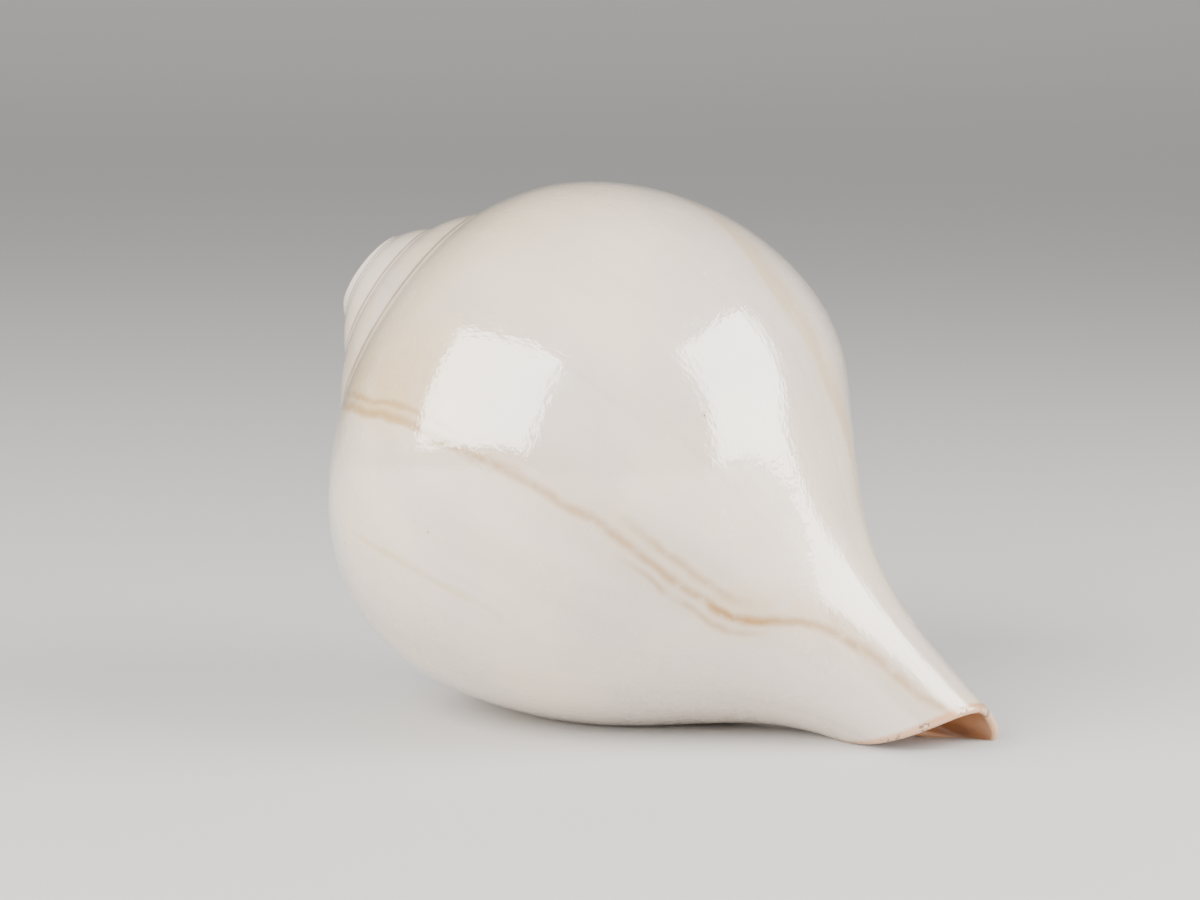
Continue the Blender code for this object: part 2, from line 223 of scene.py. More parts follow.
def skin_frame(s, turn):
    """Unit vectors on the skin: along growth, towards the canal, and outwards."""
    onward = unit(skin(s, np.add(turn, TINY)) - skin(s, np.subtract(turn, TINY)))
    forward = unit(skin(np.add(s, TINY), turn) - skin(np.subtract(s, TINY), turn))
    return onward, forward, unit(np.cross(onward, forward))


tip_to_canal = np.linalg.norm(skin(1.0, 0.0) - APEX) / MM
print(f"from the tip to the end of the canal: {tip_to_canal:.0f} mm")

# %% [markdown]
# ## The skin
# Two flat grids are wrapped on to the law, one for the spire and one for the last whorl. Of the
# spire only the band by the suture shows, because each whorl covers the rest of the one before, so
# that grid is narrow. Columns crowd together at both edges of the band, where the suture needs
# fine detail. `create_grid` makes the faces, and each vertex then moves to its place on the shell.
# Along the canal the outer lip stands back, and the last whorl ends that much earlier there.
# Layers of the mesh keep notes on each vertex for the material: where on the shell it lies, how
# far it is from the lip, and its depth, which is 0 outside, 1 behind the rim, 2 and 3 in the
# passage.

# %% Wrapping grids on to the shell
STEPS_PER_TURN = 160
EXPOSED_COLUMNS = 26
HIDDEN_COLUMNS = 84
SPIRE_TURNS = 3
LIP_RETREAT = math.radians(205)
LIP_RETREAT_START = 0.745
LIP_RETREAT_EASE = 0.06
LIP_RETREAT_STEADY = 0.62
LIP_RETREAT_REACH = 1.5
SEAM_DISTANCE = 0.001 * MM

shell = bmesh.new()
GROWTH = shell.loops.layers.uv.new("growth")
ALONG = shell.verts.layers.float.new("along_edge")
AGE = shell.verts.layers.float.new("age")
GIRTH = shell.verts.layers.float.new("girth")
DEPTH = shell.verts.layers.float.new("depth")
TO_LIP = shell.verts.layers.float.new("to_lip")


def lip_retreat(s):
    """How many turns the lip stands back at s along the edge."""
    x = np.clip((s - LIP_RETREAT_START) / (1 - LIP_RETREAT_START), 0, 1)
    steady = x * x * (1 + LIP_RETREAT_EASE) / (x + LIP_RETREAT_EASE)
    return LIP_RETREAT / TURN * (LIP_RETREAT_STEADY * steady + (1 - LIP_RETREAT_STEADY) * x**3)


def last_turn(s, part):
    """Turn of the point that is this part of the way through the last turn, which ends at the lip."""
    return part - 1 - lip_retreat(s) * part**LIP_RETREAT_REACH


def mark(vertex, s, turn, girth):
    """Notes on a vertex where it lies, with the girth and its distance to the lip in millimetres."""
    vertex[ALONG] = s
    vertex[AGE] = turn
    vertex[GIRTH] = girth
    vertex[TO_LIP] = (float(last_turn(s, 1.0)) - turn) * girth


def wrap_grid(s, turn):
    """A grid of len(s) columns and one row for each row of turn, laid on the skin."""
    rows, columns = turn.shape
    made = bmesh.ops.create_grid(shell, x_segments=columns - 1, y_segments=rows - 1, size=1)
    ordered = sorted(made["verts"], key=lambda v: (round(v.co.y / TINY), round(v.co.x / TINY)))
    points = skin(s, turn).reshape(-1, 3)
    girth = (TURN * growth(s, turn)[0] / MM).reshape(-1)
    ages = turn.reshape(-1)
    places = np.broadcast_to(s, turn.shape).reshape(-1)
    for vertex, point, place_s, age, round_it in zip(ordered, points, places, ages, girth):
        vertex.co = point
        mark(vertex, place_s, age, round_it)
    return [ordered[i : i + columns] for i in range(0, len(ordered), columns)]


def write_growth_map(faces):
    """Copies the place along the edge and the age of each corner into the growth map."""
    for face in faces:
        for corner in face.loops:
            corner[GROWTH].uv = (corner.vert[ALONG], corner.vert[AGE])


exposed = COVERED_FROM * eased(np.linspace(0, 1, EXPOSED_COLUMNS + 1))
hidden = np.linspace(COVERED_FROM, 1, HIDDEN_COLUMNS + 1)[1:]
whole = np.concatenate([exposed, hidden])
spire_ages = np.linspace(-1 - SPIRE_TURNS, -1, SPIRE_TURNS * STEPS_PER_TURN + 1)
wrap_grid(exposed, np.repeat(spire_ages[:, None], len(exposed), axis=1))
parts = np.linspace(0, 1, STEPS_PER_TURN + 1)
body_rows = wrap_grid(whole, last_turn(whole[None, :], parts[:, None]))
write_growth_map(shell.faces)
bmesh.ops.remove_doubles(shell, verts=shell.verts, dist=SEAM_DISTANCE)
print("skin:", len(shell.verts), "vertices")

# %% [markdown]
# ## The suture
# Where a new whorl was laid over the one before, its edge is thin and stands a little proud.
# Polishing rounds it, but a crisp groove stays, with a low band just below it. The lift of each
# vertex is worked out from its distance to the suture, on both sides, and it moves that far along
# its normal. The groove grows with the whorls, so it is given in its size at the lip. A texture
# could fake the groove, but a real one also catches the light on the outline.

# %% Cutting the suture's groove
GROOVE_DEPTH = 0.42 * MM
GROOVE_WIDTH = 0.55 * MM
BAND_RISE = 0.22 * MM
BAND_START = 1.1 * MM
BAND_WIDTH = 1.5 * MM
SUTURE_FADE = 0.07


def suture_lift(s, age):
    """How far the skin stands proud (+) or sinks (-) near the suture above and the one below."""
    size = WHORL_EXPANSION**age
    below = EDGE_LENGTH * s
    above = EDGE_LENGTH * (COVERED_FROM - s) / WHORL_EXPANSION
    fade_below = eased(-age / SUTURE_FADE)
    fade_above = eased(-(age + 1) / SUTURE_FADE)
    groove = -GROOVE_DEPTH * np.exp(-((below / GROOVE_WIDTH) ** 2))
    band = BAND_RISE * np.exp(-(((below - BAND_START) / BAND_WIDTH) ** 2))
    band = band * eased(below / BAND_START)
    upper = -GROOVE_DEPTH * WHORL_EXPANSION * np.exp(-np.abs(above) / GROOVE_WIDTH)
    upper = np.where(s <= COVERED_FROM + TINY, upper * fade_above, 0)
    return size * (np.minimum(groove * fade_below, upper) + band * fade_below)


shell.normal_update()
lifts = [float(suture_lift(v[ALONG], v[AGE])) for v in shell.verts]
moves = [v.normal * lift for v, lift in zip(shell.verts, lifts)]
for vertex, move in zip(shell.verts, moves):
    vertex.co += move
print(f"suture: {min(lifts) / MM:.2f} to {max(lifts) / MM:.2f} mm")

# %% [markdown]
# ## The ground tip
# The maker grinds the tip off square to the axis until the hollow inside opens. `bisect_plane`
# does the same to the mesh, and keeps the edge loop of the cut, which the blow hole is joined to
# later.

# %% Grinding off the tip
CUT_HEIGHT = 14.6 * MM
cut = bmesh.ops.bisect_plane(
    shell,
    geom=shell.verts[:] + shell.edges[:] + shell.faces[:],
    dist=SEAM_DISTANCE,
    plane_co=APEX + CUT_HEIGHT * AXIS,
    plane_no=AXIS,
    clear_inner=True,
)
ground = [e for e in cut["geom_cut"] if isinstance(e, bmesh.types.BMEdge)]
print("ground edge:", len(ground), "edges")

# %% [markdown]
# ## The aperture's rim
# The lip is thin and rounded. Its edge runs once round the aperture: down the outer lip, round the
# open end of the canal, and back up the inner lip, which only turns smoothly into the shell. The
# open loop of edges is extruded again and again with `extrude_edge_only`, and each new row of
# vertices moves to its place. The first rows make the rounded rim.

# %% Rounding the rim
LIP_THICKNESS = 1.8 * MM
RIM_RISE = 0.1
END_START = 0.88
RIM_ROWS = 10
MOUTH_DEPTH = 0.125
MOUTH_FLOW = 1.2
LIP_FOOT = 0.985
INNER_FOOT = 0.86
RIM_DEPTH = 1.0
WALL_DEPTH = 2.0
PASSAGE_DEPTH = 3.0


def near_end(s):
    """1 at the end of the canal, fading to 0 some way up both lips."""
    return eased((s - END_START) / (1 - END_START))


def section_angle(along, foot):
    """The angle of the passage's section where the wall from this part of the rim arrives."""
    down = MOUTH_FLOW * along - (MOUTH_FLOW - foot) * along**4
    return np.arccos(1 - 2 * down)


def extrude_row(row, points, depth):
    """Extrudes a closed row of vertices and moves the new row to the points. Returns the new row."""
    edges = []
    for vertex, following in zip(row, row[1:] + row[:1]):
        edges.append(next(e for e in vertex.link_edges if e.other_vert(vertex) is following))
    made = bmesh.ops.extrude_edge_only(shell, edges=edges)["geom"]
    fresh = {part for part in made if isinstance(part, bmesh.types.BMVert)}
    new_row = []
    for vertex, point in zip(row, points):
        neighbours = (e.other_vert(vertex) for e in vertex.link_edges)
        twin = next(neighbour for neighbour in neighbours if neighbour in fresh)
        twin.co = point
        twin[DEPTH] = depth
        new_row.append(twin)
    write_growth_map(part for part in made if isinstance(part, bmesh.types.BMFace))
    return new_row


first_hidden = len(exposed)
corner = body_rows[0][first_hidden - 1]
lip_row = body_rows[-1][1:]
end_row = [row[-1] for row in body_rows[-2::-1]]
inner_row = body_rows[0][first_hidden:-1][::-1]
mouth = [corner, *lip_row, *end_row, *inner_row]
print("edge of the aperture:", len(mouth), "vertices, all open:", all(v.is_boundary for v in mouth))

# %% [markdown]
# ## Folding the rim over
# Each vertex of the aperture's edge gets its angle on the section of the passage, so that the wall
# later reaches the passage without a twist. Then the rim folds over in a half circle as thick as
# the lip. The inner lip has no edge to round, so the rows run straight on there, and in the corner
# at the suture they shrink to nothing.

# %% The rim
s_mouth = np.array([v[ALONG] for v in mouth], dtype=float)
turn_mouth = np.array([v[AGE] for v in mouth], dtype=float)
s_mouth[0] = COVERED_FROM
turn_mouth[0] = -1.0
ring_share = np.arange(1, STEPS_PER_TURN + 1) / STEPS_PER_TURN
lip_s, inner_s = whole[1:], hidden[:-1][::-1]
from_corner = (inner_s - COVERED_FROM) / (1 - COVERED_FROM)
lip_theta = section_angle(lip_s, LIP_FOOT)
inner_theta = TURN - section_angle(from_corner, INNER_FOOT)
end_theta = lip_theta[-1] + (inner_theta[0] - lip_theta[-1]) * ring_share
theta_mouth = np.concatenate([[0], lip_theta, end_theta, inner_theta])
on_lip, on_end = np.ones(len(lip_s)), np.ones(STEPS_PER_TURN)
rim_size = np.concatenate([[0], eased(lip_s / RIM_RISE), on_end, eased(from_corner / RIM_RISE)])
at_end = near_end(s_mouth)
folding = np.concatenate([[1], on_lip, on_end, near_end(inner_s)])
rim_size, at_end, folding = rim_size[:, None], at_end[:, None], folding[:, None]

onward, forward, outward = skin_frame(s_mouth, turn_mouth)
rim_start = np.array([v.co for v in mouth])
across = unit(np.cross(np.roll(rim_start, -1, axis=0) - np.roll(rim_start, 1, axis=0), outward))
row = mouth
for i in range(1, RIM_ROWS + 1):
    angle = math.pi * i / RIM_ROWS
    folded = (across * math.sin(angle) - outward * (1 - math.cos(angle))) / 2
    straight = across * i / RIM_ROWS
    rim_points = rim_start + rim_size * LIP_THICKNESS * (folding * folded + (1 - folding) * straight)
    row = extrude_row(row, rim_points, RIM_DEPTH * i / RIM_ROWS)
print("rim:", RIM_ROWS, "rows of", len(row), "vertices")

# %% [markdown]
# ## The passage inside
# The hollow is what makes it a horn. Behind the lip the wall thickens, and the passage winds up
# round the central pillar, the columella, getting smaller by the same law as the outside. Its
# section is given by an angle, 0 at the crest under the suture and half a turn at the foot.

# %% The passage's section
WALL = 4.2 * MM
WALL_GROWTH = 0.3
PASSAGE_CREST = 0.02
READINGS = 400
COLUMELLA = [
    (37.2, 42.5), (39.8, 55), (31.4, 74.7), (23.8, 91),
    (19, 104), (15, 116), (12, 126), (10.5, 134),
]
COLUMELLA_CURVE, _, _ = curve_through(np.array(COLUMELLA) * MM)
COLUMELLA_FOOT = float(COLUMELLA_CURVE(np.ones(1))[0, 1])


def passage(theta, turn):
    """Points of the passage's section at this turn."""
    last = max(turn, -1.0)
    older = min(turn + 1, 0.0)
    down = (1 - np.cos(theta)) / 2
    from_mouth = last + MOUTH_DEPTH
    foot = COLUMELLA_FOOT * WHORL_EXPANSION ** (SPIRE_STRETCH * from_mouth)
    reach = np.linspace(COVERED_FROM, 1, READINGS)
    foot_s = np.interp(foot, growth(reach, last)[1], reach)
    s = PASSAGE_CREST + (foot_s - PASSAGE_CREST) * down
    middle = np.stack(growth(s, last), -1)
    along = unit(np.stack(growth(s + TINY, last), -1) - np.stack(growth(s - TINY, last), -1))
    wall = WALL * WHORL_EXPANSION ** (WALL_GROWTH * last)
    outer = middle + wall * np.stack([-along[:, 1], along[:, 0]], -1)
    inner = COLUMELLA_CURVE(down) * WHORL_EXPANSION ** (from_mouth * np.array([1, SPIRE_STRETCH]))
    swell = (np.sqrt(1 - np.cos(theta) ** 4) * np.sign(np.sin(theta)))[:, None]
    section = (outer + inner) / 2 + (outer - inner) / 2 * swell
    section = section * WHORL_EXPANSION ** (older * np.array([1, SPIRE_STRETCH]))
    return place(section[:, 0], section[:, 1], turn)


crest, foot = passage(np.array([0, math.pi]), -MOUTH_DEPTH)
print(f"passage behind the aperture: {np.linalg.norm(crest - foot) / MM:.0f} mm from crest to foot")

# %% [markdown]
# ## From the rim into the passage
# Between the rim and the passage the wall follows a smooth curve. It must stay inside the skin, so
# each point is drawn in towards the axis where needed, and then `smooth_vert` relaxes the rows in
# between.

# %% The wall behind the rim
MOUTH_ROWS = 24
MOUTH_EASE = 0.2
MOUTH_RELAXING = 60
LEAST_RADIUS = 2 * MM
CORNER_LENGTH = 0.15


def bezier(start, leaving, arriving, end, t):
    """The point at t, from 0 to 1, of the curve from start to end that the two handles bend."""
    near = (1 - t) ** 3 * start + 3 * t * (1 - t) ** 2 * leaving
    return near + 3 * t * t * (1 - t) * arriving + t**3 * end


def inside_skin(points, wall):
    """Draws points in towards the axis until they lie this far inside the skin of the last turn."""
    height = (points - APEX) @ AXIS
    centre = axis_at(height)
    radial = points - centre
    radius = np.linalg.norm(radial, axis=1)
    turn = (np.arctan2(radial @ SIDEWARD, radial @ UPWARD) - LIP_ANGLE) / TURN % 1 - 1
    reach = np.linspace(0, 1, READINGS)
    skin_radius, skin_height = growth(reach[None, :], turn[:, None])
    limit = np.empty(len(points))
    for i in range(len(points)):
        slope = np.gradient(skin_radius[i], skin_height[i])
        allowed = skin_radius[i] - wall * eased(reach / CORNER_LENGTH) * np.sqrt(1 + slope**2)
        limit[i] = np.interp(height[i], skin_height[i], allowed)
    kept = np.minimum(radius, np.maximum(limit, LEAST_RADIUS))
    return centre + radial * (kept / radius)[:, None]


inward = -unit(at_end * forward + (1 - at_end) * onward)
ring_end = passage(theta_mouth, -MOUTH_DEPTH)
deeper = unit(passage(theta_mouth, -MOUTH_DEPTH - TINY) - ring_end)
handle = MOUTH_EASE * np.linalg.norm(ring_end - rim_points, axis=1, keepdims=True)
wall_vertices = []
for i in range(1, MOUTH_ROWS):
    t = i / MOUTH_ROWS
    wall = LIP_THICKNESS + (WALL - LIP_THICKNESS) * t
    curve = bezier(rim_points, rim_points + inward * handle, ring_end - deeper * handle, ring_end, t)
    row = extrude_row(row, inside_skin(curve, wall), RIM_DEPTH + (WALL_DEPTH - RIM_DEPTH) * t)
    wall_vertices += row
row = extrude_row(row, ring_end, WALL_DEPTH)
for _ in range(MOUTH_RELAXING):
    bmesh.ops.smooth_vert(
        shell, verts=wall_vertices, factor=0.5, use_axis_x=True, use_axis_y=True, use_axis_z=True
    )
print("wall behind the rim:", MOUTH_ROWS, "rows")

# %% [markdown]
# ## Up to the blow hole
# The loop is extruded on along the passage. Over its last half turn it narrows to a round bore,
# and then it bends up along the axis to the ground tip. `bridge_loops` joins the loop to the cut
# edge, and the face between the two is the flat ring that the player's lips press on.

# %% Winding up the passage
PASSAGE_STEPS_PER_TURN = 18
EVENING_TURNS = 0.5
ROUNDING_START = -1.9
PASSAGE_END = -2.4
BLOW_HOLE_RADIUS = 5.5 * MM
BLOW_HOLE_BEND = 0.45
BLOW_HOLE_ROWS = 6


def half_plane(turn):
    """Unit vectors away from the axis and along growth in the half-plane of this turn."""
    angle = LIP_ANGLE + TURN * turn
    away = math.cos(angle) * UPWARD + math.sin(angle) * SIDEWARD
    along = math.cos(angle) * SIDEWARD - math.sin(angle) * UPWARD
    return away, along


even_theta = TURN * np.arange(len(mouth)) / len(mouth)
steps = round((-MOUTH_DEPTH - PASSAGE_END) * PASSAGE_STEPS_PER_TURN)
for turn in np.linspace(-MOUTH_DEPTH, PASSAGE_END, steps + 1)[1:]:
    away, along = half_plane(turn)
    evening = eased((-MOUTH_DEPTH - turn) / EVENING_TURNS)
    theta = theta_mouth + (even_theta - theta_mouth) * evening
    ring = passage(theta, turn)
    middle = ring.mean(axis=0)
    circle = np.sin(theta)[:, None] * away - np.cos(theta)[:, None] * AXIS
    bore = middle + BLOW_HOLE_RADIUS * circle
    ring = ring + (bore - ring) * eased((turn - ROUNDING_START) / (PASSAGE_END - ROUNDING_START))
    row = extrude_row(row, ring, PASSAGE_DEPTH)
circle = np.sin(even_theta)[:, None] * away + np.cos(even_theta)[:, None] * along
hole = APEX + CUT_HEIGHT * AXIS + BLOW_HOLE_RADIUS * circle
handle = BLOW_HOLE_BEND * np.linalg.norm(hole.mean(axis=0) - middle)
for i in range(1, BLOW_HOLE_ROWS + 1):
    curve = bezier(ring, ring - along * handle, hole + AXIS * handle, hole, i / BLOW_HOLE_ROWS)
    row = extrude_row(row, curve, PASSAGE_DEPTH)
loose_edges = [e for e in shell.edges if e.is_boundary]
hole_edges = [e for e in loose_edges if all(v[DEPTH] > WALL_DEPTH for v in e.verts)]
bridged = bmesh.ops.bridge_loops(shell, edges=[e for e in ground if e.is_valid] + hole_edges)
write_growth_map(bridged["faces"])
for vertex in row:
    vertex[DEPTH] = 0.0
print("passage:", steps, "rows, blow hole", 2 * BLOW_HOLE_RADIUS / MM, "mm wide")

# %% [markdown]
# ## The resting flat and the finished mesh
# The underside is worn to a small flat where the shell lies. `bisect_plane` cuts it, and
# `holes_fill` closes it. Then doubles are merged and the normals are made to point outwards.

# %% Finishing the mesh
FLAT_EDGE = math.radians(32)

bmesh.ops.remove_doubles(shell, verts=shell.verts, dist=SEAM_DISTANCE)
flattened = bmesh.ops.bisect_plane(
    shell,
    geom=shell.verts[:] + shell.edges[:] + shell.faces[:],
    dist=SEAM_DISTANCE,
    plane_co=(0, 0, 0),
    plane_no=(0, 0, 1),
    clear_inner=True,
)
rest_edges = [e for e in flattened["geom_cut"] if isinstance(e, bmesh.types.BMEdge)]
filled = bmesh.ops.holes_fill(shell, edges=rest_edges, sides=0)
bmesh.ops.triangulate(shell, faces=filled["faces"])
bmesh.ops.recalc_face_normals(shell, faces=shell.faces)
if shell.calc_volume(signed=True) < 0:
    bmesh.ops.reverse_faces(shell, faces=shell.faces)
open_edges = sum(1 for e in shell.edges if len(e.link_faces) != 2)
triangles = sum(len(f.verts) - 2 for f in shell.faces)
volume = shell.calc_volume(signed=True) / (10 * MM) ** 3
shell_mesh = bpy.data.meshes.new("polished_shell_skin")
shell.to_mesh(shell_mesh)
shell.free()
shell_mesh.shade_smooth()
shell_mesh.set_sharp_from_angle(angle=FLAT_EDGE)
shell_piece = bpy.data.objects.new("shell_surface", shell_mesh)
bpy.context.scene.collection.objects.link(shell_piece)
print(f"shell: {triangles} triangles, {open_edges} open edges, {volume:.0f} cubic centimetres")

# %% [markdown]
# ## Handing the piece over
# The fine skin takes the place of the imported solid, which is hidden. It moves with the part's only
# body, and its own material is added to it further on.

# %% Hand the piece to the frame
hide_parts("conch_shell")
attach(shell_piece, "root")
print(shell_piece.name, "takes the place of the solid")

# %% [markdown]
# ## Colour and finish
# The shell is aragonite: thin plates of lime laid down in layers by the snail. Ground and polished
# with wax it turns into a porcelain-like white with a clear gloss, warm and a little uneven,
# because the layers let some light in. The real thing would be finished by sanding and buffing,
# and a painter would glaze it in thin layers. Nodes do the same here, layer over layer, each mixed
# in by its own mask. First come the helpers: one turns a colour from a picture program into the
# renderer's linear values, and one adds a node, gives it its settings, and sets or links its
# inputs.

# %% Helpers for materials
def paint(code):
    """Linear red, green, blue and alpha of a colour such as #e6dccf."""
    channels = [int(code[i : i + 2], 16) / 255 for i in (1, 3, 5)]
    return (*(c / 12.92 if c <= 0.04045 else ((c + 0.055) / 1.055) ** 2.4 for c in channels), 1.0)


def add(tree, kind, inputs=None, **settings):
    """Adds a node of this kind to the tree, with its settings and its inputs set or linked."""
    made = tree.nodes.new(kind)
    for name, value in settings.items():
        setattr(made, name, value)
    for name, value in (inputs or {}).items():
        if isinstance(value, bpy.types.NodeSocket):
            tree.links.new(value, made.inputs[name])
        else:
            made.inputs[name].default_value = value
    return made


shell_look = bpy.data.materials.new("polished_chank_shell")
shell_look.use_nodes = True
tree = shell_look.node_tree
surface = tree.nodes["Principled BSDF"]
print("material:", shell_look.name)

# %% [markdown]
# ## Where on the shell a point lies
# The marks on a shell follow its growth, so the material reads the growth map made with the mesh:
# how far along the growing edge a point is, and how many turns before the lip. The attribute
# `girth` is the way round in millimetres, which turns a difference in turns into a real distance.
# Short functions stand for the nodes that are needed again and again.

# %% Coordinates for the marks
def calculate(operation, first, second=0.0, third=0.0):
    """The result of a math node, for numbers or the outputs of other nodes."""
    values = {0: first, 1: second, 2: third}
    return add(tree, "ShaderNodeMath", values, operation=operation).outputs[0]


def times(first, *others):
    """All the values multiplied."""
    for other in others:
        first = calculate("MULTIPLY", first, other)
    return first


def largest(first, *others):
    """The largest of the values."""
    for other in others:
        first = calculate("MAXIMUM", first, other)
    return first


def ramp(value, low, high):
    """0 up to low, 1 from high on, and a soft step between; low may be the larger one."""
    flipped = low > high
    inputs = {"Value": value, "From Min": min(low, high), "From Max": max(low, high)}
    inputs |= {"To Min": float(flipped), "To Max": float(not flipped)}
    return add(tree, "ShaderNodeMapRange", inputs, interpolation_type="SMOOTHSTEP").outputs["Result"]


def mixed(share, first, second):
    """The first colour with this share of the second over it."""
    inputs = {"Factor": share, 6: first, 7: second}
    return add(tree, "ShaderNodeMix", inputs, data_type="RGBA").outputs[2]


def noted(name):
    """What the mesh notes under this name at each point."""
    return add(tree, "ShaderNodeAttribute", attribute_name=name).outputs["Fac"]


growth_map = add(tree, "ShaderNodeUVMap", uv_map="growth")
split = add(tree, "ShaderNodeSeparateXYZ", {"Vector": growth_map.outputs["UV"]})
along_edge, age = split.outputs["X"], split.outputs["Y"]
girth, depth, to_lip = noted("girth"), noted("depth"), noted("to_lip")
space = add(tree, "ShaderNodeTexCoord").outputs["Object"]


def clouds(size, detail=2.0, roughness=0.5, vector=space, stretch=(1, 1, 1)):
    """Soft noise whose patches are about this many metres wide, around 0.5."""
    scaled = add(tree, "ShaderNodeMapping", {"Vector": vector, "Scale": stretch}).outputs["Vector"]
    inputs = {"Vector": scaled, "Scale": 1 / size, "Detail": detail, "Roughness": roughness}
    return add(tree, "ShaderNodeTexNoise", inputs).outputs["Fac"]


print("the growth map, girth, depth and distance to the lip are read")

# %% [markdown]
# ## The white and its clouds
# The white is never one colour. Thick parts look creamy, thin and hard-polished parts grey and
# faintly pink, and old edges of growth stay as faint bands across the whorl. A band keeps its
# place in turns, so its noise is read from the growth map, long along the edge and short round the
# shell. A pair named for a step gives the noise values where the step starts and where it is full,
# and a share says how much of a colour goes on at most.

# %% The white
WARM_WHITE = paint("#ead8c2")
COOL_WHITE = paint("#dbccbe")
CREAM = paint("#e6cca3")
GROWTH_BEIGE = paint("#c2ab91")
COOL_PATCH = 34 * MM
COOL_STEP = (0.36, 0.66)
CREAM_PATCH = 52 * MM
CREAM_STEP = (0.42, 0.72)
CREAM_ENDS = (0.55, 0.12)
CREAM_SHARE = 0.75
BROAD_BANDS = (1.4, 16.0, 1.0)
BROAD_STEP = (0.50, 0.74)
BROAD_SHARE = 0.28
FINE_BANDS = (2.2, 95.0, 1.0)
FINE_STEP = (0.52, 0.78)
FINE_SHARE = 0.16

cool = ramp(clouds(COOL_PATCH, detail=3.0, roughness=0.55), *COOL_STEP)
white = mixed(cool, WARM_WHITE, COOL_WHITE)
creamy = times(ramp(clouds(CREAM_PATCH), *CREAM_STEP), ramp(along_edge, *CREAM_ENDS), CREAM_SHARE)
white = mixed(creamy, white, CREAM)
on_map = add(tree, "ShaderNodeCombineXYZ", {"X": along_edge, "Y": age}).outputs["Vector"]
broad_bands = clouds(1.0, detail=3.0, roughness=0.6, vector=on_map, stretch=BROAD_BANDS)
fine_bands = clouds(1.0, detail=4.0, roughness=0.65, vector=on_map, stretch=FINE_BANDS)
banding = times(ramp(broad_bands, *BROAD_STEP), BROAD_SHARE)
banding = calculate("MULTIPLY_ADD", ramp(fine_bands, *FINE_STEP), FINE_SHARE, banding)
white = mixed(banding, white, GROWTH_BEIGE)
print("white, clouds and growth bands are mixed")

# %% [markdown]
# ## The growth lines
# Where the snail paused, the old lip stays as a tan line from the shoulder to the canal. Its
# course is a few points of a curve: the place along the edge against the degrees round the shell.
# The distance to that curve in turns, times the girth, gives millimetres, and a narrow ramp of it
# makes the line. Noise makes it waver. A second course, that of a soft beige band, runs over the
# shell's far side.

# %% Courses of the growth lines
TAN = paint("#a9792b")
PALE_TAN = paint("#cdab6b")
LINE_COURSE = [
    (0.0, 120), (0.083, 107), (0.14, 99), (0.216, 91), (0.318, 86), (0.441, 83.6), (0.536, 84.6),
    (0.609, 87.6), (0.642, 89.6), (0.672, 88), (0.704, 82.6), (0.744, 74.6), (0.812, 64.6),
    (0.882, 59.6), (0.947, 45.6), (1.0, 30),
]
LINE_SPAN = (0, 130)
LINE_WAVER = 3.2
BAND_COURSE = [(0.0, -20), (0.29, -2), (0.5, 11), (0.65, -3), (0.78, -13), (1.0, -22)]
BAND_SPAN = (-40, 40)
BAND_WAVER = 5.0
WAVER_PATCH = 11 * MM


def curve_of(value, points, low, high):
    """The value read through a smooth curve of a few points; the curve runs from low to high."""
    node = add(tree, "ShaderNodeFloatCurve", {"Value": value})
    course = node.mapping.curves[0]
    while len(course.points) < len(points):
        course.points.new(0.5, 0.5)
    for knot, (place_s, level) in zip(course.points, points):
        knot.location = (place_s, (level - low) / (high - low))
    node.mapping.update()
    return calculate("MULTIPLY_ADD", node.outputs["Value"], high - low, low)


def turns_at(degrees):
    """The age, in turns before the lip, of the line that many degrees round from the top."""
    return math.radians(degrees) / TURN - LIP_ANGLE / TURN


def past_course(course, span, amount):
    """Millimetres that a point lies past the course, which wavers by up to about half the amount."""
    low, high = (turns_at(degrees) for degrees in span)
    turn = curve_of(along_edge, [(s, turns_at(degrees)) for s, degrees in course], low, high)
    distance = times(calculate("SUBTRACT", age, turn), girth)
    return calculate("MULTIPLY_ADD", waver, amount, distance)


waver = calculate("SUBTRACT", clouds(WAVER_PATCH, detail=3.0, roughness=0.55), 0.5)
from_line = past_course(LINE_COURSE, LINE_SPAN, LINE_WAVER)
from_band = past_course(BAND_COURSE, BAND_SPAN, BAND_WAVER)
print("courses pass", len(LINE_COURSE), "and", len(BAND_COURSE), "points")

# %% [markdown]
# ## Laying the lines in
# Each line has its own width and strength along the edge. The strongest stretch, honey-tan, is
# where the waist turns into the neck. Beside the main line run three thinner strands, where the
# snail stopped and started again. By the shoulder the line widens into a broad soft band. Offsets
# and widths are in millimetres, and a stretch says where along the edge a line starts, is full,
# starts to fade and is gone.

# %% Tan lines
STRENGTH = [
    (0.0, 0.5), (0.2, 0.55), (0.45, 0.6), (0.6, 0.7),
    (0.66, 1.0), (0.72, 0.7), (0.85, 0.5), (1.0, 0.4),
]
MAIN_WIDTH = 1.7
STRANDS = [
    (2.9, 1.3, (0.48, 0.56, 0.66, 0.71)),
    (-3.4, 1.5, (0.44, 0.54, 0.62, 0.69)),
    (-2.6, 1.2, (0.02, 0.08, 0.20, 0.30)),
]
STRAND_SHARE = 0.5
GLOW_OFFSET, GLOW_WIDTH = -1.5, 9.0
GLOW_SHARE = 0.45
SHOULDER_FAR, SHOULDER_NEAR = (-34.0, -3.0), (2.0, 0.5)
SHOULDER_STRETCH = (-0.10, 0.02, 0.16, 0.36)
SHOULDER_LEAST, SHOULDER_VARYING = 0.25, 0.4
FAINT_OFFSET, FAINT_WIDTH = 28.0, 1.6
FAINT_STRETCH = (0.18, 0.24, 0.36, 0.46)
FAINT_SHARE = 0.4
BAND_FAR, BAND_NEAR, BAND_EDGE = (-9.0, -1.0), (2.5, 0.0), (1.3, 0.2)
BAND_STRETCH = (0.10, 0.30, 0.85, 1.0)
BAND_SHARE = 0.42
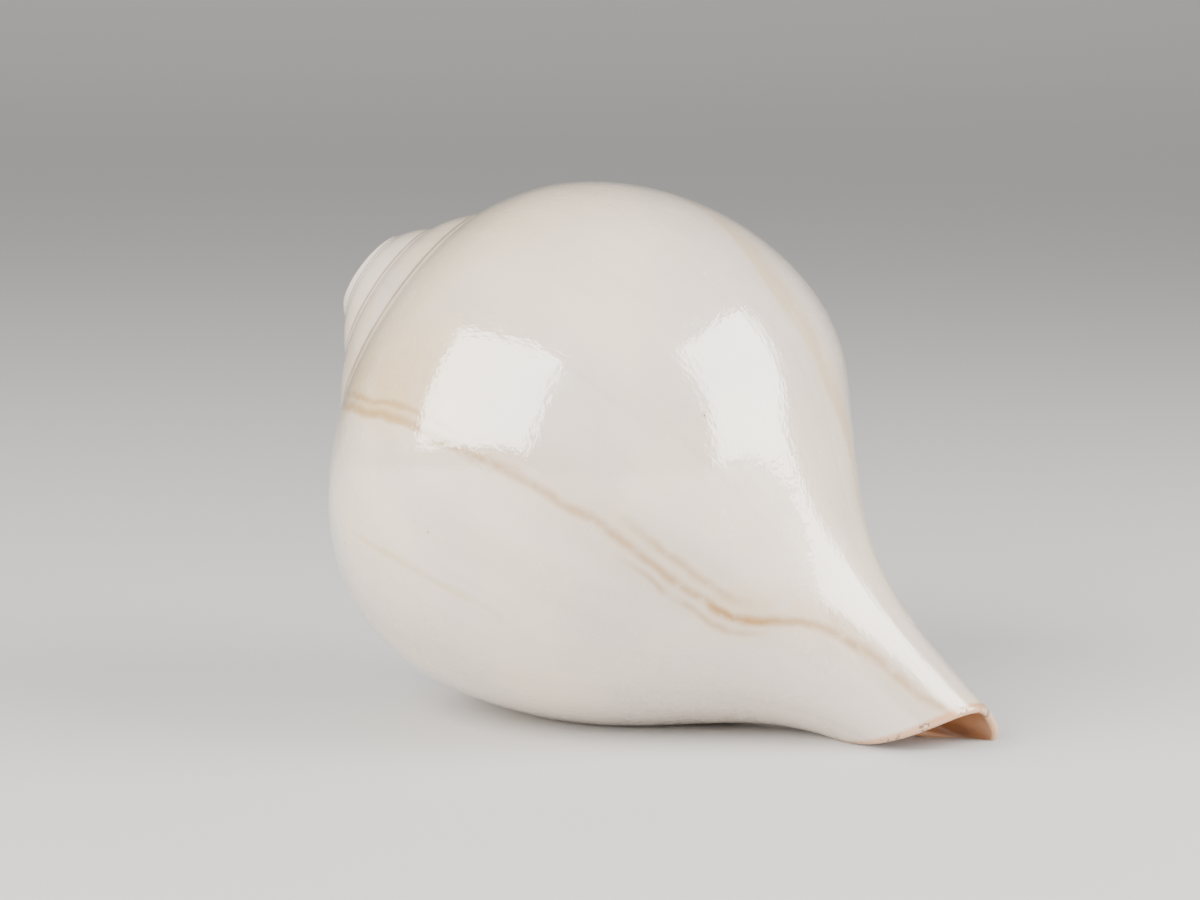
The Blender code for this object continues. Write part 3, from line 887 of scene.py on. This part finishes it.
WORN_PATCH = 6 * MM
WORN_STEP = (0.18, 0.55)
LAST_TURN = (-1.02, -0.98)


def line(offset, width):
    """A line this many millimetres past the main course, 1 on it and 0 beyond its width."""
    return ramp(calculate("ABSOLUTE", calculate("SUBTRACT", from_line, offset)), width, 0.0)


def between(low_start, low_end, high_start, high_end):
    """1 between these places along the edge, fading out at both ends."""
    return times(ramp(along_edge, low_start, low_end), ramp(along_edge, high_end, high_start))


worn = ramp(clouds(WORN_PATCH, detail=3.0, roughness=0.6), *WORN_STEP)
strength = times(curve_of(along_edge, STRENGTH, 0, 1), worn)
main_line = times(line(0.0, MAIN_WIDTH), strength)
strands = [times(line(offset, width), between(*stretch)) for offset, width, stretch in STRANDS]
strands = times(largest(*strands), worn, STRAND_SHARE)
glow = times(line(GLOW_OFFSET, GLOW_WIDTH), strength, GLOW_SHARE)
shoulder_band = times(ramp(from_line, *SHOULDER_FAR), ramp(from_line, *SHOULDER_NEAR))
shoulder_wear = calculate("MULTIPLY_ADD", worn, SHOULDER_VARYING, SHOULDER_LEAST)
shoulder_band = times(shoulder_band, between(*SHOULDER_STRETCH), shoulder_wear)
faint = times(line(FAINT_OFFSET, FAINT_WIDTH), between(*FAINT_STRETCH), worn, FAINT_SHARE)
beige_band = times(ramp(from_band, *BAND_FAR), ramp(from_band, *BAND_NEAR))
beige_band = largest(beige_band, ramp(calculate("ABSOLUTE", from_band), *BAND_EDGE))
beige_band = times(beige_band, between(*BAND_STRETCH), worn, BAND_SHARE)

this_turn = ramp(age, *LAST_TURN)
soft_tan = times(largest(glow, shoulder_band, faint, beige_band), this_turn)
marked = mixed(soft_tan, white, PALE_TAN)
sharp_tan = times(largest(main_line, strands), this_turn)
marked = mixed(sharp_tan, marked, TAN)
print("one main line,", len(STRANDS), "strands and four soft bands are laid in")

# %% [markdown]
# ## Suture, pits and specks
# A thin grey-brown line is painted in the suture. It is partly dust and old wax, and partly painted
# shade in the groove. A few small pits, the work of boring sponges and worms, were not polished out.
# They are brown specks with a pale edge.

# %% Dark details
SUTURE_DUST_AND_SHADE = paint("#7d7064")
SPECK_BROWN = paint("#7c5636")
HAIRLINE_BELOW = (1.0, 0.2)
HAIRLINE_ABOVE = (0.7, 0.1)
COVERED_AGES = (-0.98, -1.0)
DUST_AND_SHADE_PATCH = 11 * MM
DUST_AND_SHADE_STEP = (0.05, 0.50)
DUST_AND_SHADE_SHARE = 0.9
SPECK_SPACING = 8 * MM
SPECKED_CELLS = (0.72, 1.0)
SPECK_RADIUS = 0.055
SPECK_LEAST = 0.001
SPECK_SHARE = 0.8
HALO_REACH = (2.6, 1.0)
HALO_ONSET = (0.0, 0.2)
HALO_SHARE = 0.35

# The suture line is painted shade in the groove mixed with dust and old wax, laid on in patches.
below_suture = times(along_edge, EDGE_LENGTH / MM)
above_suture = times(calculate("SUBTRACT", COVERED_FROM, along_edge), EDGE_LENGTH / MM)
above_suture = calculate("ABSOLUTE", above_suture)
covered = times(ramp(above_suture, *HAIRLINE_ABOVE), ramp(age, *COVERED_AGES))
dust_and_shade_patches = ramp(clouds(DUST_AND_SHADE_PATCH, roughness=0.6), *DUST_AND_SHADE_STEP)
suture_dust_and_shade = times(largest(ramp(below_suture, *HAIRLINE_BELOW), covered), dust_and_shade_patches, DUST_AND_SHADE_SHARE)
marked = mixed(suture_dust_and_shade, marked, SUTURE_DUST_AND_SHADE)

cells = add(tree, "ShaderNodeTexVoronoi", {"Vector": space, "Scale": 1 / SPECK_SPACING})
chosen = add(tree, "ShaderNodeSeparateColor", {"Color": cells.outputs["Color"]}).outputs["Red"]
speck_size = ramp(chosen, *SPECKED_CELLS)
speck_edge = times(speck_size, SPECK_RADIUS)
from_speck = cells.outputs["Distance"]
speck = calculate("LESS_THAN", from_speck, speck_edge)
in_radii = calculate("DIVIDE", from_speck, calculate("ADD", speck_edge, SPECK_LEAST))
halo = times(ramp(in_radii, *HALO_REACH), ramp(speck_size, *HALO_ONSET), HALO_SHARE)
marked = mixed(halo, marked, PALE_TAN)
marked = mixed(times(speck, SPECK_SHARE), marked, SPECK_BROWN)
print("suture line and specks are laid in")

# %% [markdown]
# ## The rim and the inside
# The lip is ground thin, so its layers show: peach, with small dark chips along the edge of the
# canal. The inside was never buffed. It is peach in the aperture and the passage. In the narrow
# canal it is ochre, with deep brown patches that are painted shade in the recess.

# %% Rim and inside
PEACH = paint("#cc9462")
PALE_PEACH = paint("#d8b08a")
WARM_PEACH = paint("#c08a5c")
OCHRE = paint("#b26f2c")
CANAL_SHADE_BROWN = paint("#6f3d1b")
CHIP_BROWN = paint("#56331f")
CANAL_RIM = (0.70, 0.82)
CANAL_INSIDE = (0.66, 0.90)
GROUND_WIDTH = (1.6, 0.2)
RIM_ONSET = (0.0, 0.3)
RIM_SHARE = 0.85
INSIDE_ONSET = (0.80, 1.08)
CHIP_PATCH = 2.6 * MM
CHIP_STEP = (0.555, 0.62)
CHIP_REACH = (1.0, 0.2)
CHIP_DEPTHS = (1.05, 0.6)
CHIP_SHARE = 0.85
PEACH_PATCH = 20 * MM
PEACH_STEP = (0.25, 0.75)
OCHRE_PATCH = 14 * MM
OCHRE_STEP = (0.30, 0.70)

on_canal = ramp(along_edge, *CANAL_RIM)
rim = largest(ramp(depth, *RIM_ONSET), times(ramp(to_lip, *GROUND_WIDTH), on_canal))
chips = ramp(clouds(CHIP_PATCH, detail=4.0, roughness=0.75), *CHIP_STEP)
chips = times(chips, ramp(to_lip, *CHIP_REACH), on_canal, ramp(depth, *CHIP_DEPTHS))
inside = ramp(depth, *INSIDE_ONSET)
inside_tone = mixed(ramp(clouds(PEACH_PATCH, detail=3.0), *PEACH_STEP), PALE_PEACH, WARM_PEACH)
# Ochre is the canal's own colour. The deep brown patches over it are painted shade.
canal_ochre_and_shade = mixed(ramp(clouds(OCHRE_PATCH, detail=3.0), *OCHRE_STEP), OCHRE, CANAL_SHADE_BROWN)
inside_tone = mixed(ramp(along_edge, *CANAL_INSIDE), inside_tone, canal_ochre_and_shade)
colour = mixed(times(rim, RIM_SHARE), marked, PEACH)
colour = mixed(inside, colour, inside_tone)
colour = mixed(times(chips, CHIP_SHARE), colour, CHIP_BROWN)
tree.links.new(colour, surface.inputs["Base Color"])
print("rim and inside are laid in")

# %% [markdown]
# ## Gloss and scratches
# Buffing leaves a clear gloss with very fine scratches in it, which only show as rough edges of
# the highlights. The gloss is the coat of the shader. Roughness rises in worn patches and inside
# the aperture, and a slight bump carries the scratches, the low relief of the growth bands and the
# pits.

# %% Finish
POLISHED, WORN, UNPOLISHED = 0.16, 0.34, 0.62
SCRATCH_SIZE, SCRATCH_STRETCH = 0.8 * MM, (0.10, 1.0, 0.30)
CROSS_SIZE, CROSS_STRETCH = 0.7 * MM, (0.8, 0.10, 0.5)
CROSS_STEP = (0.55, 0.75)
CROSS_ROUGHNESS = 0.10
RUBBED_PATCH, RUBBED_STEP = 22 * MM, (0.48, 0.70)
SWELL_PATCH = 12 * MM
SCRATCH_RELIEF, CROSS_RELIEF, BAND_RELIEF, SWELL_RELIEF = 0.30, 0.22, 0.30, 0.6
SPECK_PIT, CHIP_PIT = 0.5, 0.9
BUMP = {"Strength": 0.6, "Distance": 0.25 * MM}
GLOSS = {
    "IOR": 1.6,
    "Coat Weight": 1.0,
    "Coat Roughness": 0.05,
    "Coat IOR": 1.75,
    "Subsurface Weight": 0.12,
    "Subsurface Radius": (1.0, 0.7, 0.5),
    "Subsurface Scale": 1.5 * MM,
}

scratches = clouds(SCRATCH_SIZE, roughness=0.6, stretch=SCRATCH_STRETCH)
cross_scratches = clouds(CROSS_SIZE, roughness=0.6, stretch=CROSS_STRETCH)
rubbed = ramp(clouds(RUBBED_PATCH, detail=4.0, roughness=0.65), *RUBBED_STEP)
roughness = calculate("MULTIPLY_ADD", rubbed, WORN - POLISHED, POLISHED)
fine_wear = ramp(cross_scratches, *CROSS_STEP)
roughness = calculate("MULTIPLY_ADD", fine_wear, CROSS_ROUGHNESS, roughness)
roughness = calculate("MULTIPLY_ADD", inside, UNPOLISHED - POLISHED, roughness)
relief = 0.0
for form, height in (
    (scratches, SCRATCH_RELIEF),
    (fine_bands, BAND_RELIEF),
    (cross_scratches, CROSS_RELIEF),
    (clouds(SWELL_PATCH, detail=3.0, roughness=0.6), SWELL_RELIEF),
    (speck, -SPECK_PIT),
    (chips, -CHIP_PIT),
):
    relief = calculate("MULTIPLY_ADD", form, height, relief)
bump = add(tree, "ShaderNodeBump", {"Height": relief, **BUMP}).outputs["Normal"]
tree.links.new(roughness, surface.inputs["Roughness"])
tree.links.new(bump, surface.inputs["Normal"])
tree.links.new(bump, surface.inputs["Coat Normal"])
for name, value in GLOSS.items():
    surface.inputs[name].default_value = value
shell_mesh.materials.append(shell_look)
print("nodes:", len(tree.nodes))

# %% [markdown]
# ## The studio
# The shell lies on a plain pale floor. Far out the floor rises a little, like the sweep in a
# studio, so that no horizon shows. Two large softboxes, one by the camera's left and one to the
# right, make the two broad highlights of the polished whorl.

# %% Floor
FLOOR_HALF = 8.0
FLOOR_STEPS = 64
SWEEP_START = 3.0
SWEEP_RISE = 0.35
FLOOR_GREY = paint("#c8c6c3")
FLOOR_ROUGHNESS = 0.7

floor_mesh = bpy.data.meshes.new("floor")
floor_form = bmesh.new()
bmesh.ops.create_grid(floor_form, x_segments=FLOOR_STEPS, y_segments=FLOOR_STEPS, size=FLOOR_HALF)
for vertex in floor_form.verts:
    out = (vertex.co.length - SWEEP_START) / (FLOOR_HALF - SWEEP_START)
    vertex.co.z = SWEEP_RISE * eased(out)
floor_form.to_mesh(floor_mesh)
floor_form.free()
floor_mesh.shade_smooth()
floor = bpy.data.objects.new("floor", floor_mesh)
bpy.context.scene.collection.objects.link(floor)
floor_look = bpy.data.materials.new("pale_floor")
floor_look.use_nodes = True
floor_surface = floor_look.node_tree.nodes["Principled BSDF"]
floor_surface.inputs["Base Color"].default_value = FLOOR_GREY
floor_surface.inputs["Roughness"].default_value = FLOOR_ROUGHNESS
floor_mesh.materials.append(floor_look)
print("floor:", 2 * FLOOR_HALF, "m wide")

# %% [markdown]
# ## The camera
# The camera stands to the right of the shell's front and looks slightly down on it, through a long
# lens that keeps the whorls from bulging towards it.

# %% Camera
VIEW_TURN = math.radians(22.91)
VIEW_DROP = math.radians(8.06)
DISTANCE = 0.67169
AIM = np.array([0.05722, 0.0, 0.05149])
STANDPOINT = np.array([-0.075060, 0.003436, -0.0012])
LENS = 97.0
SENSOR = 36.0

quarter = np.array([[0, -1, 0], [1, 0, 0], [0, 0, 0]])
level = np.diag([1, 1, 0])
turned = math.cos(VIEW_TURN) * level + math.sin(VIEW_TURN) * quarter + np.diag([0, 0, 1])
looking = np.array([0, math.cos(VIEW_DROP), -math.sin(VIEW_DROP)])
eye = turned @ (AIM - DISTANCE * looking) + STANDPOINT
camera = bpy.data.objects.new("camera", bpy.data.cameras.new("camera"))
camera.data.lens = LENS
camera.data.sensor_width = SENSOR
camera.location = eye
camera.rotation_euler = Vector(turned @ looking).to_track_quat("-Z", "Y").to_euler()
bpy.context.scene.collection.objects.link(camera)
bpy.context.scene.camera = camera
print("camera at", eye.round(3), "m")

# %% [markdown]
# ## The lights
# A softbox is an area light. Where its reflection falls on the shell follows from the direction it
# stands in, so each is set by its direction, how far up it is and its distance. The right one
# reaches down almost to the floor, so its reflection runs on down the neck. A third, far behind,
# keeps the floor pale into the distance.

# %% Lights
STUDIO_WHITE = paint("#f3f1ee")
STUDIO_LIGHT = 0.36
LIT_SPOT = Vector((0.0, -0.02, 0.06))

world = bpy.data.worlds.new("studio")
world.use_nodes = True
background = world.node_tree.nodes["Background"]
background.inputs["Color"].default_value = STUDIO_WHITE
background.inputs["Strength"].default_value = STUDIO_LIGHT
bpy.context.scene.world = world


def softbox(name, direction, rise, distance, width, height, watts):
    """A rectangular softbox, seen from the shell in this direction and so far up, in degrees."""
    light = bpy.data.lights.new(name, "AREA")
    light.shape = "RECTANGLE"
    light.size = width
    light.size_y = height
    light.energy = watts
    lamp = bpy.data.objects.new(name, light)
    around, up = math.radians(direction), math.radians(rise)
    away = Vector((math.cos(around) * math.cos(up), math.sin(around) * math.cos(up), math.sin(up)))
    lamp.location = LIT_SPOT + away * distance
    lamp.rotation_euler = (-away).to_track_quat("-Z", "Y").to_euler()
    bpy.context.scene.collection.objects.link(lamp)
    print(name, "at", [round(c, 2) for c in lamp.location])
    return lamp


softbox("left_softbox", direction=-116, rise=27, distance=0.95, width=1.0, height=0.78, watts=29)
softbox("right_softbox", direction=6, rise=22, distance=0.62, width=0.48, height=0.6, watts=10.5)
far_light = softbox(
    "background_light", direction=118, rise=40, distance=7.0, width=7.0, height=7.0, watts=170
)
far_light.visible_glossy = False
